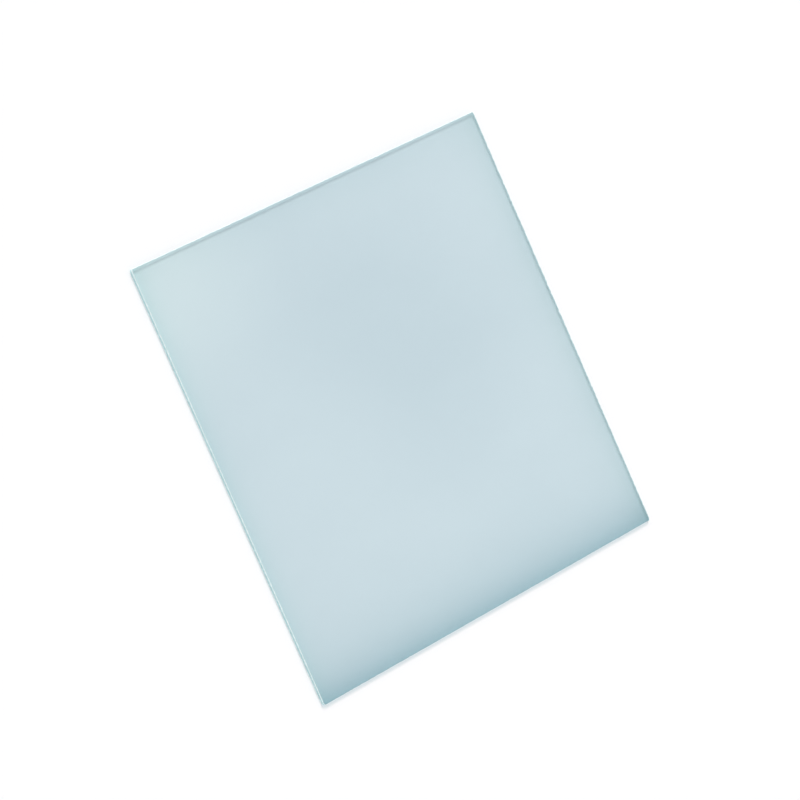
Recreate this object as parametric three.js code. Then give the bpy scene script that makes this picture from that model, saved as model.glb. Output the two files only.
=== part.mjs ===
// Square microscope cover glass: one thin plate of clear drawn glass.
//
// The sheet was scored on its upper face, first along X and then more lightly along Y,
// and snapped, so the edge isn't ground. From the upper face down it has three zones:
//   1. the score band, a shallow hollow where the wheel flaked the upper arris away,
//   2. the break face, smooth and straight, with a slight lean,
//   3. the lower arris, left sharp.
// Where two scores cross, the tip of the corner is nipped round.
//
// Millimetres. The lower face lies on Z = 0, centred on the origin, with the sides
// along X and Y and the scored face up.

import * as THREE from "three";

// Plate
const LENGTH = 22; // along X, at the lower arris
const WIDTH = 22; // along Y, at the lower arris
const THICKNESS = 0.15;

// Edge, as seen in a section across one side
const SCORE_DEPTH = 0.024; // height of the score band
const FIRST_SETBACK = 0.045; // how far the upper face stops short of a break along X
const SECOND_SETBACK = 0.027; // how far it stops short of a break along Y
const SCORE_HOLLOW = 0.004; // how far the band sags below a straight bevel
const SCORE_FACETS = 4;
const BREAK_LEAN = 0.003; // how far the break face leans in on its way up

// Corners
const CORNER_RADIUS = 0.12; // at the lower arris
const CORNER_FACETS = 6;

// An edge's section from the lower arris to the rim of the upper face: x is the
// distance in from the plate's outline and y the height above the lower face.
function edgeSection(setback) {
  const lowerArris = new THREE.Vector2(0, 0);
  const bandFoot = new THREE.Vector2(BREAK_LEAN, THICKNESS - SCORE_DEPTH);
  const rim = new THREE.Vector2(BREAK_LEAN + setback, THICKNESS);

  // A quadratic curve sags by half of what its middle handle is pulled.
  const intoGlass = new THREE.Vector2(SCORE_DEPTH, -setback).normalize();
  const handle = bandFoot.clone().lerp(rim, 0.5).addScaledVector(intoGlass, 2 * SCORE_HOLLOW);
  const band = new THREE.QuadraticBezierCurve(bandFoot, handle, rim);
  return [lowerArris, ...band.getPoints(SCORE_FACETS)];
}

// One closed loop round the plate, counter-clockwise seen from above. It runs through
// one point of the first cuts' section on the sides along X and through the matching
// point of the second cuts' section on the sides along Y, and blends them at a corner.
function edgeLoop(firstPoint, secondPoint) {
  const centreX = LENGTH / 2 - CORNER_RADIUS;
  const centreY = WIDTH / 2 - CORNER_RADIUS;
  const arcCentres = [
    [centreX, centreY],
    [-centreX, centreY],
    [-centreX, -centreY],
    [centreX, -centreY],
  ];
  const quarter = Math.PI / 2;
  const loop = [];
  arcCentres.forEach(([x, y], corner) => {
    for (let facet = 0; facet <= CORNER_FACETS; facet++) {
      const turn = (corner + facet / CORNER_FACETS) * quarter;
      const { x: inset, y: height } = firstPoint.clone().lerp(secondPoint, Math.cos(turn) ** 2);
      const radius = CORNER_RADIUS - inset;
      loop.push([x + radius * Math.cos(turn), y + radius * Math.sin(turn), height]);
    }
  });
  return loop;
}

// A closed solid lofted through loops of equal length, the lowest first, with a flat
// cap on each end.
function loft(loops) {
  const count = loops[0].length;
  const top = (loops.length - 1) * count;
  const triangles = [];
  for (let base = 0; base < top; base += count) {
    for (let i = 0; i < count; i++) {
      const next = (i + 1) % count;
      const above = base + count;
      triangles.push(base + i, base + next, above + next);
      triangles.push(base + i, above + next, above + i);
    }
  }
  const outline = loops[0].map(([x, y]) => new THREE.Vector2(x, y));
  for (const [a, b, c] of THREE.ShapeUtils.triangulateShape(outline, [])) {
    triangles.push(a, c, b);
    triangles.push(top + a, top + b, top + c);
  }
  const shared = new THREE.BufferGeometry();
  shared.setAttribute("position", new THREE.Float32BufferAttribute(loops.flat(2), 3));
  shared.setIndex(triangles);

  // Unshared corners keep every arris crisp.
  const faceted = shared.toNonIndexed();
  faceted.computeVertexNormals();
  return faceted;
}

// Clear glass, pale blue-green in body.
const clearGlass = new THREE.MeshStandardMaterial({
  color: 0xc9e3ea,
  roughness: 0.03,
  metalness: 0,
  transparent: true,
  opacity: 0.35,
});

const firstSection = edgeSection(FIRST_SETBACK);
const secondSection = edgeSection(SECOND_SETBACK);
const loops = firstSection.map((point, level) => edgeLoop(point, secondSection[level]));
const coverGlass = new THREE.Mesh(loft(loops), clearGlass);
coverGlass.name = "cover_glass";

const part = new THREE.Group();
part.name = "microscope_cover_glass";
part.add(coverGlass);

export default part;
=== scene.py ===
"""The looks of a square microscope cover glass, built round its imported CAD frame."""

import math

import bpy
import numpy as np
from mathutils import Matrix, Vector


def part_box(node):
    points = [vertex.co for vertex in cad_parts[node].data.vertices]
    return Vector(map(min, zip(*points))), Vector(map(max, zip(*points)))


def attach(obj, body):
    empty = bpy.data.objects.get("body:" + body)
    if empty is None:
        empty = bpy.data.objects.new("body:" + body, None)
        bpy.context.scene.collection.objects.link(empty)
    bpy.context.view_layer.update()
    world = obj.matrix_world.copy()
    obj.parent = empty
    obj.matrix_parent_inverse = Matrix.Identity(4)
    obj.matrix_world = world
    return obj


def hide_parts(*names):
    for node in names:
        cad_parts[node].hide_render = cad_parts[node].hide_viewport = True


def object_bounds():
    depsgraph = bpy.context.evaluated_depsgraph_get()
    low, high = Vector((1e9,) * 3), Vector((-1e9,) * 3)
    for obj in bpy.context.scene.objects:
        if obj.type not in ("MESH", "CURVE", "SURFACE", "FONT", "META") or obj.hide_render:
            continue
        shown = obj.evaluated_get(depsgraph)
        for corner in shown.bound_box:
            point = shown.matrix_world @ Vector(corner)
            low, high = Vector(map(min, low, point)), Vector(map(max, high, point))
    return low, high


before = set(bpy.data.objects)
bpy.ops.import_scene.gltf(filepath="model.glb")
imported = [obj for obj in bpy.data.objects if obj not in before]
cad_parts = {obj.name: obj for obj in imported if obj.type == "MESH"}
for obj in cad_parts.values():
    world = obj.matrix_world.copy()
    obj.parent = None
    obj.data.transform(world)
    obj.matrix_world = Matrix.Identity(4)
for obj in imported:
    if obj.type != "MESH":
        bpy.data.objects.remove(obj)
CAD_LOW, CAD_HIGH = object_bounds()

MM = 0.001
SEED = 22
FACE, BREAK, BAND = 0, 1, 2  # the plate's material slots

# The edge: a score band under the upper face, and the break face below it
BAND_DEPTH = 0.024 * MM  # height of the band
FIRST_SETBACK = 0.045 * MM  # how far the upper face stops short of a break along X
SECOND_SETBACK = 0.027 * MM  # and of a break along Y, which was scored more lightly
BAND_SAG = 0.004 * MM  # how far in the band is hollow. It is half as hollow downwards.
ARRIS_WEAR = 0.003 * MM  # the lower arris is sharp but for this
CORNER_RADIUS = 0.12 * MM

# What the wheel flaked out of the band, from the least to the greatest. A flake of size 1 takes
# the band to its full depth, setback and sag.
FLAKE_WIDTHS = (0.10 * MM, 0.42 * MM)
FLAKE_SIZES = (0.35, 1.25)

# The shares of these that the band has between two flakes
BARE_DEPTH = 0.60
BARE_SETBACK = 0.45
BARE_SAG = 0.40

# How the break ran
WANDER = 0.0035 * MM  # how far it strays from a straight line, to either side
WANDER_WAVES = (7, 12, 19, 31, 47)  # waves round the plate that the straying is made of
RIPPLE = 0.0006 * MM  # how far the arrest lines on the break face stand out, to either side
RIPPLE_PITCH = 0.31 * MM
RIPPLE_BOW = 0.9  # how many pitches a line bows over the height of the edge

# Steps of the mesh
STEP_ALONG = 0.05 * MM
CORNER_STEPS = 12
ARRIS_ROWS = 2
BREAK_ROWS = 6
BAND_ROWS = 5

# Patterns of noise: about how big their spots are, how much finer detail they have, and how
# each axis is scaled where they run one way
CLOUDS = {"size": 7.7 * MM, "detail": 2.0, "scale": (1, 0.5, 1)}
DRAWN_WAVES = {"size": 2.4 * MM, "detail": 1.0, "scale": (1, 0.15, 1)}
HAZE = {"size": 1.1 * MM, "detail": 4.0}
STREAKS = {"size": 0.19 * MM, "detail": 3.0, "scale": (1, 1, 0.2)}
FROST = {"size": 0.11 * MM, "detail": 4.0}
NOISE_SPREAD = (0.3, 0.7)  # nearly all of a noise's values lie between these

# The glass. Its colour is deepest at one place on the face and palest in one corner: painted
# reflection.
IOR = 1.52
FACE_DEEP = (0.630, 0.719, 0.757)
FACE_PALE = (0.717, 0.796, 0.826)
PAINTED_REFLECTION_COLOUR = (0.790, 0.868, 0.873)
DEEPEST = (-3.4 * MM, 2.2 * MM, 0.0)
DEEP_REACH = (0.5 * MM, 10.0 * MM)  # the distances from there over which it pales
PAINTED_REFLECTION_CORNER = tuple(CAD_LOW)
PAINTED_REFLECTION_REACH = (1.0 * MM, 9.0 * MM)  # the distances from there over which it deepens again
CLOUD_SHARE = 0.3  # how much of the paling is a matter of soft clouds instead
FACE_LIGHT = (0.852, 0.900, 0.915)  # what the face lets through of lamp light and floor light
FACE_ROUGHNESS = (0.01, 0.035)
WAVE_HEIGHT = 0.004 * MM

# Painted shade that darkens the face towards each edge, most along +X: its axis and side,
# the shade's colour at the edge itself, and how far in from there the shade halves
PAINTED_EDGE_SHADE = (
    ("X", -1, (0.92, 0.955, 0.95), 0.60 * MM),
    ("X", 1, (0.47, 0.63, 0.67), 0.90 * MM),
    ("Y", -1, (0.85, 0.95, 0.935), 0.40 * MM),
    ("Y", 1, (0.82, 0.885, 0.875), 0.60 * MM),
)

BREAK_DEEP = (0.480, 0.740, 0.760)
BREAK_PALE = (0.620, 0.830, 0.840)
BREAK_LAMP_LIGHT = (0.62, 0.70, 0.72)  # what the break face lets through of lamp light
BREAK_FLOOR_LIGHT = (0.72, 0.86, 0.88)  # and of floor light
BREAK_ROUGHNESS = (0.12, 0.28)
BREAK_GLOSS = 0.5  # the weight of the clear coat that stands for its sharp reflections
BREAK_GLOSS_ROUGHNESS = 0.05

BAND_DEEP = (0.780, 0.930, 0.940)
BAND_PALE = (0.930, 0.990, 0.995)
BAND_ROUGHNESS = (0.35, 0.60)
FROST_HEIGHT = 0.004 * MM

# The camera. These angles and the lights' are in degrees.
VIEW_AZIMUTH = -8.4
VIEW_ELEVATION = 53.8
VIEW_ROLL = -73.1  # its turn about its own axis
VIEW_DISTANCE = 185 * MM  # from the middle of the plate
VIEW_LENS = 175.0  # its focal length, which Blender takes in millimetres
VIEW_CLIP = 5 * MM  # what is nearer to the camera than this doesn't show

# The key light. It gives this share of the floor's light and the world gives the rest, which
# together come to about 1, a white.
KEY_SHARE = 0.505
KEY_AZIMUTH = 254.0
KEY_ELEVATION = 38.0
KEY_SOFTNESS = 18.0  # how wide the light looks from the plate
KEY_COLOUR = (1.0, 0.995, 0.985)

# The world is a white sweep that dims to a ceiling between two heights, each the sine of an
# elevation, with one soft box for the plate to mirror
SWEEP_COLOUR = (1.0, 1.0, 1.0)
CEILING_RISE = (0.25, 0.75)
CEILING_COLOUR = (0.215, 0.215, 0.235)
SOFTBOX_AZIMUTH = 170.0
SOFTBOX_ELEVATION = 44.0
SOFTBOX_REACH = (22.0, 5.0)  # how far from its middle it starts and is full
SOFTBOX_COLOUR = (1.9, 1.9, 1.9)

FLOOR_REACH = 3000 * MM  # from the middle to each side
FLOOR_GAP = 0.005 * MM  # under the plate, so that the two faces don't coincide

# The places of a Mix node's colour sockets among all its sockets
MIX_COLOURS_IN = (6, 7)
MIX_COLOUR_OUT = 2


# ---------------------------------------------------------------- the plate's mesh

def heading(quarters):
    """The way that X points after this many quarter turns, counter-clockwise."""
    turn = quarters * math.pi / 2
    return Vector((math.cos(turn), math.sin(turn)))


def outline(low, high):
    """Points round the plate at its lower arris, counter-clockwise, and their outward normals."""
    left, right = low.x + CORNER_RADIUS, high.x - CORNER_RADIUS
    front, back = low.y + CORNER_RADIUS, high.y - CORNER_RADIUS
    arc_centres = ((right, back), (left, back), (left, front), (right, front))
    centres = [Vector(centre) for centre in arc_centres]
    points, normals = [], []
    for corner, centre in enumerate(centres):
        for step in range(CORNER_STEPS):
            normal = heading(corner + step / CORNER_STEPS)
            points.append(centre + CORNER_RADIUS * normal)
            normals.append(normal)
        normal = heading(corner + 1)
        start = centre + CORNER_RADIUS * normal
        end = centres[(corner + 1) % len(centres)] + CORNER_RADIUS * normal
        steps = round((end - start).length / STEP_ALONG)
        for step in range(steps):
            points.append(start.lerp(end, step / steps))
            normals.append(normal)
    return np.array(points), np.array(normals)


def flakes(travel, length, rng):
    """The size of the flake at each distance round the plate, 0 between two of them."""
    ends = [0.0]
    while ends[-1] < length:
        ends.append(ends[-1] + rng.uniform(*FLAKE_WIDTHS))
    ends = np.array(ends) * length / ends[-1]
    sizes = rng.uniform(*FLAKE_SIZES, len(ends))
    which = np.clip(np.searchsorted(ends, travel, side="right") - 1, 0, len(ends) - 2)
    across = (travel - ends[which]) / (ends[which + 1] - ends[which])
    return sizes[which] * bulge(across)


def bulge(share):
    """0 at a share of 0 and of 1, and 1 half-way."""
    return 4 * share * (1 - share)


def flaked(bare, flake):
    """The share of a full size that the band has where the flake is of this size."""
    return bare + (1 - bare) * flake


def waves(travel, length, counts, rng):
    """A smooth closed curve round the plate, made of a few sine waves, within -1 and 1."""
    total = np.zeros_like(travel)
    for count in counts:
        total += np.sin(2 * math.pi * (count * travel / length + rng.random()))
    return total / len(counts)


def edge_rings(points, normals, thickness):
    """The rings of the edge from the lower face up. Each is how far in it lies at every point,
    its height there, and the material slot of the strip above it."""
    rng = np.random.default_rng(SEED)
    steps = np.linalg.norm(np.roll(points, -1, axis=0) - points, axis=1)
    travel = np.concatenate([[0.0], np.cumsum(steps)[:-1]])
    length = steps.sum()

    flake = flakes(travel, length, rng)
    full_setback = FIRST_SETBACK + (SECOND_SETBACK - FIRST_SETBACK) * normals[:, 0] ** 2
    setback = full_setback * flaked(BARE_SETBACK, flake)
    depth = BAND_DEPTH * flaked(BARE_DEPTH, flake)
    sag = BAND_SAG * flaked(BARE_SAG, flake)
    stray = WANDER * (1 + waves(travel, length, WANDER_WAVES, rng))

    rings = []
    for row in range(ARRIS_ROWS + 1):
        rise = row / ARRIS_ROWS
        rings.append((stray + ARRIS_WEAR * (1 - rise) ** 2, ARRIS_WEAR * rise, BREAK))
    for row in range(1, BREAK_ROWS):
        rise = row / BREAK_ROWS
        height = ARRIS_WEAR + (thickness - depth - ARRIS_WEAR) * rise
        bow = RIPPLE_BOW * (height / thickness) ** 2
        lines = 1 + np.sin(2 * math.pi * (travel / RIPPLE_PITCH + bow))
        rings.append((stray + RIPPLE * bulge(rise) * lines, height, BREAK))
    for row in range(BAND_ROWS + 1):
        rise = row / BAND_ROWS
        hollow = sag * bulge(rise)
        inset = stray + setback * rise + hollow
        height = thickness - depth * (1 - rise) - hollow / 2
        rings.append((inset, height, BAND))
    return rings


def plate_mesh(name, low, high):
    """The plate as one closed mesh. Its edge is smoothed, but for a crease where the band meets
    the break."""
    points, normals = outline(low, high)
    rings = edge_rings(points, normals, high.z - low.z)
    count = len(points)
    levels = []
    for inset, height, _ in rings:
        flat = points - normals * inset[:, None]
        levels.append(np.column_stack([flat, np.broadcast_to(low.z + height, count)]))
    vertices = np.concatenate(levels)

    faces, slots = [], []
    for row, (_, _, slot) in enumerate(rings[:-1]):
        below, above = row * count, (row + 1) * count
        for point in range(count):
            after = (point + 1) % count
            faces.append((below + point, below + after, above + after, above + point))
            slots.append(slot)
    rim = (len(rings) - 1) * count
    upper_face = tuple(range(rim, rim + count))
    lower_face = tuple(reversed(range(count)))
    faces += [upper_face, lower_face]
    slots += [FACE, FACE]

    mesh = bpy.data.meshes.new(name)
    mesh.from_pydata(vertices.tolist(), [], faces)
    mesh.polygons.foreach_set("material_index", slots)
    mesh.polygons.foreach_set("use_smooth", [slot != FACE for slot in slots])
    foot = [slot for _, _, slot in rings].index(BAND)
    crease = range(foot * count, (foot + 1) * count)
    for edge in mesh.edges:
        edge.use_edge_sharp = all(vertex in crease for vertex in edge.vertices)
    mesh.update()
    return mesh


# ---------------------------------------------------------------- shader nodes

def new_material(name):
    material = bpy.data.materials.new(name)
    material.use_nodes = True
    tree = material.node_tree
    tree.nodes.clear()
    return material, tree


def node(tree, kind, inputs=None, **settings):
    """A node with its settings and inputs. An input is a plain value or another node's output."""
    made = tree.nodes.new(kind)
    for key, value in settings.items():
        setattr(made, key, value)
    for key, value in (inputs or {}).items():
        if isinstance(value, bpy.types.NodeSocket):
            tree.links.new(value, made.inputs[key])
        else:
            made.inputs[key].default_value = value
    return made


def finish_material(tree, surface):
    node(tree, "ShaderNodeOutputMaterial", {"Surface": surface})


def math_node(tree, operation, *values):
    return node(tree, "ShaderNodeMath", dict(enumerate(values)), operation=operation).outputs[0]


def object_place(tree, scale=(1, 1, 1)):
    """Object coordinates, with each axis scaled where a pattern runs one way."""
    place = node(tree, "ShaderNodeTexCoord").outputs["Object"]
    return node(tree, "ShaderNodeMapping", {"Vector": place, "Scale": scale}).outputs["Vector"]


def distance_from(tree, place):
    inputs = {0: object_place(tree), 1: place}
    return node(tree, "ShaderNodeVectorMath", inputs, operation="DISTANCE").outputs["Value"]


def noise(tree, size, detail, scale=(1, 1, 1)):
    """A pattern of noise, from 0 to 1."""
    inputs = {"Vector": object_place(tree, scale), "Scale": 1 / size, "Detail": detail}
    return node(tree, "ShaderNodeTexNoise", inputs).outputs["Fac"]


def ease(tree, value, source, target=(0.0, 1.0)):
    """The value, eased from one range to another."""
    inputs = {
        "Value": value,
        "From Min": source[0],
        "From Max": source[1],
        "To Min": target[0],
        "To Max": target[1],
    }
    made = node(tree, "ShaderNodeMapRange", inputs, interpolation_type="SMOOTHSTEP")
    return made.outputs["Result"]


def blend_colours(tree, factor, first, second, blend_type="MIX"):
    """Two colours blended by a factor. A colour is a tuple or another node's output."""
    made = node(tree, "ShaderNodeMix", {0: factor}, data_type="RGBA", blend_type=blend_type)
    for place, colour in zip(MIX_COLOURS_IN, (first, second)):
        if isinstance(colour, bpy.types.NodeSocket):
            tree.links.new(colour, made.inputs[place])
        else:
            made.inputs[place].default_value = (*colour, 1)
    return made.outputs[MIX_COLOUR_OUT]


def bump(tree, pattern, height):
    """The surface's normal, as if the pattern stood out by this height."""
    inputs = {"Height": pattern, "Strength": 1.0, "Distance": height}
    return node(tree, "ShaderNodeBump", inputs).outputs["Normal"]


def let_light_pass(tree, shader, lamp_light, floor_light):
    """The shader, but lamp light and light off the floor go straight through in these colours."""
    path = node(tree, "ShaderNodeLightPath").outputs
    straight = math_node(tree, "MAXIMUM", path["Is Shadow Ray"], path["Is Diffuse Ray"])
    colour = blend_colours(tree, path["Is Shadow Ray"], floor_light, lamp_light)
    passing = node(tree, "ShaderNodeBsdfTransparent", {"Color": colour}).outputs[0]
    return node(tree, "ShaderNodeMixShader", {0: straight, 1: shader, 2: passing}).outputs[0]


# ---------------------------------------------------------------- materials

def face_colour_with_painted_reflection(tree):
    """The face's colour, with a painted reflection: it pales away from its deepest place and is
    palest in a corner.
    """
    paling = ease(tree, distance_from(tree, DEEPEST), DEEP_REACH, (0.0, 1 - CLOUD_SHARE))
    clouds = ease(tree, noise(tree, **CLOUDS), NOISE_SPREAD, (0.0, CLOUD_SHARE))
    colour = blend_colours(tree, math_node(tree, "ADD", paling, clouds), FACE_DEEP, FACE_PALE)
    painted_reflection = ease(tree, distance_from(tree, PAINTED_REFLECTION_CORNER), PAINTED_REFLECTION_REACH, (1.0, 0.0))
    return blend_colours(tree, painted_reflection, colour, PAINTED_REFLECTION_COLOUR)


def paint_edge_shade(tree, colour):
    """The colour, multiplied towards each edge by that edge's painted shade."""
    axes = node(tree, "ShaderNodeSeparateXYZ", {"Vector": object_place(tree)}).outputs
    half = {"X": CAD_HIGH.x, "Y": CAD_HIGH.y}
    for axis, side, edge_shade, halving in PAINTED_EDGE_SHADE:
        offset = -half[axis] / halving
        halvings = math_node(tree, "MULTIPLY_ADD", axes[axis], side / halving, offset)
        near = math_node(tree, "POWER", 2.0, halvings)
        colour = blend_colours(tree, near, colour, edge_shade, "MULTIPLY")
    return colour


def glass_face():
    """The drawn faces: clear, pale blue-green, with the faint waviness that drawing leaves."""
    material, tree = new_material("clear_glass_face")
    shader = node(
        tree,
        "ShaderNodeBsdfPrincipled",
        {
            # painted reflection across the face and painted shade towards its edges, over the
            # glass's own pale blue-green
            "Base Color": paint_edge_shade(tree, face_colour_with_painted_reflection(tree)),
            "Roughness": ease(tree, noise(tree, **HAZE), NOISE_SPREAD, FACE_ROUGHNESS),
            "IOR": IOR,
            "Transmission Weight": 1.0,
            "Normal": bump(tree, noise(tree, **DRAWN_WAVES), WAVE_HEIGHT),
        },
    )
    surface = let_light_pass(tree, shader.outputs[0], FACE_LIGHT, FACE_LIGHT)
    finish_material(tree, surface)
    return material


def snapped_edge():
    """The break face: smooth glass seen end on, where the colour gathers, streaked upwards."""
    material, tree = new_material("snapped_edge")
    streaks = ease(tree, noise(tree, **STREAKS), NOISE_SPREAD)
    shader = node(
        tree,
        "ShaderNodeBsdfPrincipled",
        {
            "Base Color": blend_colours(tree, streaks, BREAK_DEEP, BREAK_PALE),
            "Roughness": ease(tree, streaks, (0.0, 1.0), BREAK_ROUGHNESS),
            "IOR": IOR,
            "Coat Weight": BREAK_GLOSS,
            "Coat Roughness": BREAK_GLOSS_ROUGHNESS,
        },
    )
    surface = let_light_pass(tree, shader.outputs[0], BREAK_LAMP_LIGHT, BREAK_FLOOR_LIGHT)
    finish_material(tree, surface)
    return material


def score_band():
    """The flaked band: fine fractures scatter the light, so it reads as a pale frosted line."""
    material, tree = new_material("score_band")
    frost = noise(tree, **FROST)
    whiter = ease(tree, frost, NOISE_SPREAD)
    shader = node(
        tree,
        "ShaderNodeBsdfPrincipled",
        {
            "Base Color": blend_colours(tree, whiter, BAND_DEEP, BAND_PALE),
            "Roughness": ease(tree, whiter, (0.0, 1.0), BAND_ROUGHNESS),
            "IOR": IOR,
            "Normal": bump(tree, frost, FROST_HEIGHT),
        },
    )
    finish_material(tree, shader.outputs[0])
    return material


def floor_white():
    material, tree = new_material("studio_floor")
    inputs = {"Base Color": (1.0, 1.0, 1.0, 1), "Roughness": 1.0, "Specular IOR Level": 0.0}
    finish_material(tree, node(tree, "ShaderNodeBsdfPrincipled", inputs).outputs[0])
    return material


# ---------------------------------------------------------------- studio

def direction(azimuth, elevation):
    """The way from the object to a camera or lamp: azimuth 0 stands at -Y and 90 at +X."""
    turn, rise = math.radians(azimuth), math.radians(elevation)
    reach = math.cos(rise)
    return Vector((math.sin(turn) * reach, -math.cos(turn) * reach, math.sin(rise)))


def make_camera(centre):
    data = bpy.data.cameras.new("camera")
    data.lens = VIEW_LENS
    data.clip_start = VIEW_CLIP
    camera = bpy.data.objects.new("camera", data)
    back = direction(VIEW_AZIMUTH, VIEW_ELEVATION)
    level = (-back).to_track_quat("-Z", "Y").to_matrix()
    roll = Matrix.Rotation(math.radians(-VIEW_ROLL), 3, "Z")
    place = Matrix.Translation(centre + VIEW_DISTANCE * back)
    camera.matrix_world = place @ (level @ roll).to_4x4()
    bpy.context.collection.objects.link(camera)
    bpy.context.scene.camera = camera


def make_key_light():
    data = bpy.data.lights.new("key", "SUN")
    # A sun of strength pi, straight overhead, would light a white floor to 1.
    data.energy = KEY_SHARE * math.pi / math.sin(math.radians(KEY_ELEVATION))
    data.angle = math.radians(KEY_SOFTNESS)
    data.color = KEY_COLOUR
    lamp = bpy.data.objects.new("key", data)
    lamp.rotation_mode = "QUATERNION"
    lamp.rotation_quaternion = direction(KEY_AZIMUTH, KEY_ELEVATION).to_track_quat("Z", "Y")
    bpy.context.collection.objects.link(lamp)


def make_world():
    world = bpy.data.worlds.new("studio")
    bpy.context.scene.world = world
    world.use_nodes = True
    tree = world.node_tree
    tree.nodes.clear()
    place = node(tree, "ShaderNodeTexCoord").outputs["Generated"]
    height = node(tree, "ShaderNodeSeparateXYZ", {"Vector": place}).outputs["Z"]
    sky = blend_colours(tree, ease(tree, height, CEILING_RISE), SWEEP_COLOUR, CEILING_COLOUR)
    middle = direction(SOFTBOX_AZIMUTH, SOFTBOX_ELEVATION)
    nearness = node(tree, "ShaderNodeVectorMath", {0: place, 1: middle}, operation="DOT_PRODUCT")
    reach = [math.cos(math.radians(angle)) for angle in SOFTBOX_REACH]
    softbox = ease(tree, nearness.outputs["Value"], reach)
    light = blend_colours(tree, softbox, sky, SOFTBOX_COLOUR)
    background = node(tree, "ShaderNodeBackground", {"Color": light, "Strength": 1.0})
    node(tree, "ShaderNodeOutputWorld", {"Surface": background.outputs[0]})


def make_floor(height):
    sides = ((-1, -1), (1, -1), (1, 1), (-1, 1))
    corners = [(FLOOR_REACH * x, FLOOR_REACH * y, height) for x, y in sides]
    mesh = bpy.data.meshes.new("floor")
    mesh.from_pydata(corners, [], [(0, 1, 2, 3)])
    mesh.materials.append(floor_white())
    floor = bpy.data.objects.new("floor", mesh)
    bpy.context.collection.objects.link(floor)


# ---------------------------------------------------------------- scene

node_low, node_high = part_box("cover_glass")
plate_data = plate_mesh("cover_glass_plate", Vector(node_low), Vector(node_high))
for material in (glass_face(), snapped_edge(), score_band()):  # FACE, BREAK and BAND
    plate_data.materials.append(material)
plate = bpy.data.objects.new("cover_glass_plate", plate_data)
bpy.context.collection.objects.link(plate)
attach(plate, "root")
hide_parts("cover_glass")

make_floor(CAD_LOW.z - FLOOR_GAP)
make_camera((CAD_LOW + CAD_HIGH) / 2)
make_key_light()
make_world()
bpy.context.scene.view_settings.view_transform = "Standard"
